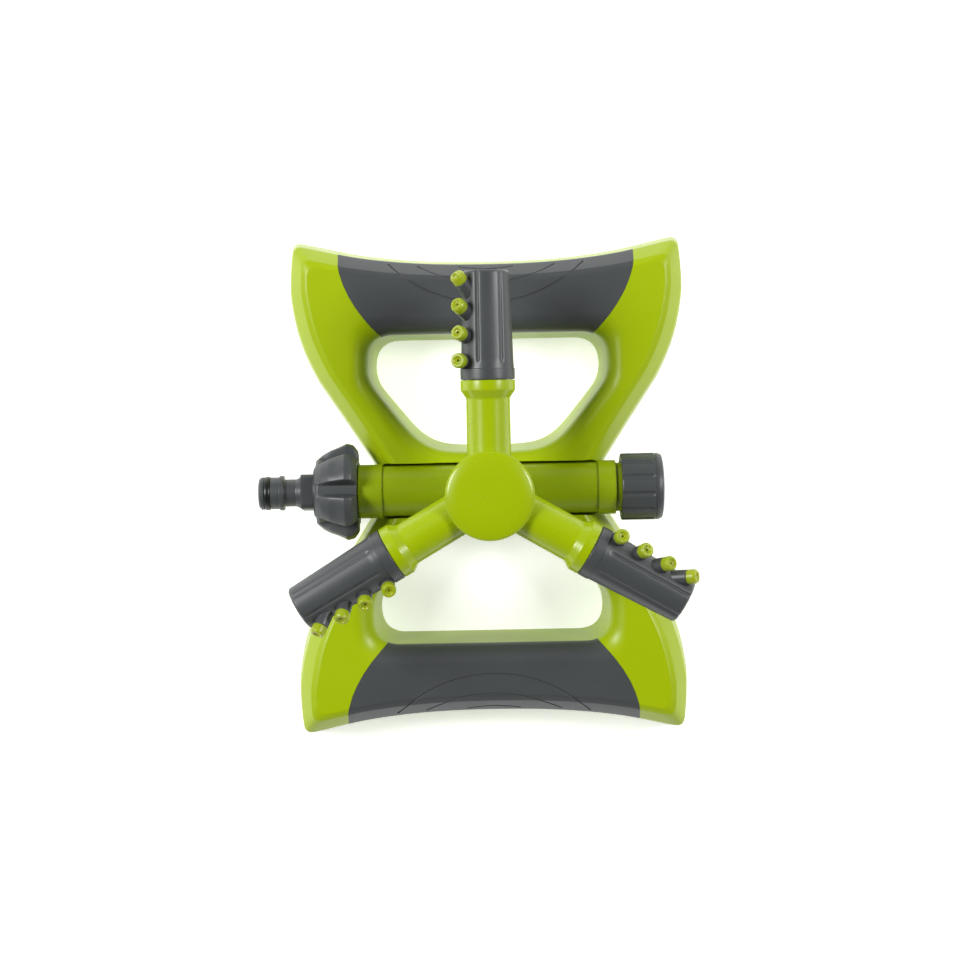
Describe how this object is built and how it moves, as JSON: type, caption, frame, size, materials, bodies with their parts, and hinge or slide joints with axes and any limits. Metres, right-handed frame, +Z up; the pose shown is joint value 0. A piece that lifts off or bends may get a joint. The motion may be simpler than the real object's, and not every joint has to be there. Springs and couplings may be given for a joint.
{
  "type": "rotary lawn sprinkler",
  "caption": "Rotary lawn sprinkler: X-shaped base with hand grips, a water pipe with hose plug and end cap, and a turning rotor whose arms carry adjustable nozzle sleeves.",
  "frame": {"origin": "on the ground, straight under the rotor's axis", "axes": "+Z up along the rotor's axis, +X along the water pipe from the hose plug to the end cap, +Y towards one of the two hand grips"},
  "size_m": [0.2142, 0.251, 0.0974],
  "materials": {
    "green_plastic": "satin moulded lime-green plastic",
    "grip_rubber": "matt dark-grey soft grip skin",
    "dark_plastic": "satin dark-grey plastic",
    "jet_plastic": "yellow-green plastic",
    "seal_rubber": "black rubber",
    "bearing_plastic": "white acetal",
    "screw_steel": "plain stainless steel"
  },
  "bodies": {
    "base": {"base_shell": "green_plastic", "grip_back": "grip_rubber", "grip_front": "grip_rubber", "water_pipe": "green_plastic", "pipe_screws": "screw_steel", "spindle": "bearing_plastic", "spindle_o_ring": "seal_rubber", "thrust_washer": "bearing_plastic", "retaining_washer": "screw_steel", "retaining_screw": "screw_steel"},
    "rotor": {"rotor_body": "green_plastic", "hub_cap": "green_plastic", "sleeve_o_ring_1": "seal_rubber", "sleeve_o_ring_2": "seal_rubber", "sleeve_o_ring_3": "seal_rubber"},
    "sleeve_1": {"nozzle_sleeve_1": "dark_plastic", "nozzle_tip_1_1": "jet_plastic", "nozzle_tip_1_2": "jet_plastic", "nozzle_tip_1_3": "jet_plastic", "nozzle_tip_1_4": "jet_plastic"},
    "sleeve_2": {"nozzle_sleeve_2": "dark_plastic", "nozzle_tip_2_1": "jet_plastic", "nozzle_tip_2_2": "jet_plastic", "nozzle_tip_2_3": "jet_plastic", "nozzle_tip_2_4": "jet_plastic"},
    "sleeve_3": {"nozzle_sleeve_3": "dark_plastic", "nozzle_tip_3_1": "jet_plastic", "nozzle_tip_3_2": "jet_plastic", "nozzle_tip_3_3": "jet_plastic", "nozzle_tip_3_4": "jet_plastic"},
    "inlet": {"inlet_nipple": "dark_plastic", "nipple_o_ring": "seal_rubber", "inlet_washer": "seal_rubber"},
    "nut": {"coupling_nut": "dark_plastic"},
    "outlet": {"cap_washer": "seal_rubber"},
    "cap": {"end_cap": "dark_plastic"}
  },
  "joints": [
    {"name": "rotor_spin", "type": "hinge", "parent": "base", "child": "rotor", "pos_m": [0, 0, 0.064], "axis": [0, 0, 1], "continuous": true},
    {"name": "sleeve_1_turn", "type": "hinge", "parent": "rotor", "child": "sleeve_1", "pos_m": [0, 0, 0.082], "axis": [0, 1, 0], "range_deg": [-45, 80]},
    {"name": "sleeve_2_turn", "type": "hinge", "parent": "rotor", "child": "sleeve_2", "pos_m": [0, 0, 0.082], "axis": [-0.866, -0.5, 0], "range_deg": [-45, 80]},
    {"name": "sleeve_3_turn", "type": "hinge", "parent": "rotor", "child": "sleeve_3", "pos_m": [0, 0, 0.082], "axis": [0.866, -0.5, 0], "range_deg": [-45, 80]},
    {"name": "inlet_travel", "type": "slide", "parent": "base", "child": "inlet", "axis": [-1, 0, 0], "range_m": [0, 0.01]},
    {"name": "nut_turn", "type": "hinge", "parent": "inlet", "child": "nut", "pos_m": [-0.07, 0, 0.038], "axis": [-1, 0, 0], "range_deg": [0, 1980]},
    {"name": "outlet_travel", "type": "slide", "parent": "base", "child": "outlet", "axis": [1, 0, 0], "range_m": [0, 0.01]},
    {"name": "cap_turn", "type": "hinge", "parent": "outlet", "child": "cap", "pos_m": [0.07, 0, 0.038], "axis": [1, 0, 0], "range_deg": [0, 1980]}
  ],
  "couplings": [
    {"joint": "inlet_travel", "follows": "nut_turn", "m_per_rad": 0.00028871},
    {"joint": "outlet_travel", "follows": "cap_turn", "m_per_rad": 0.00028871}
  ]
}
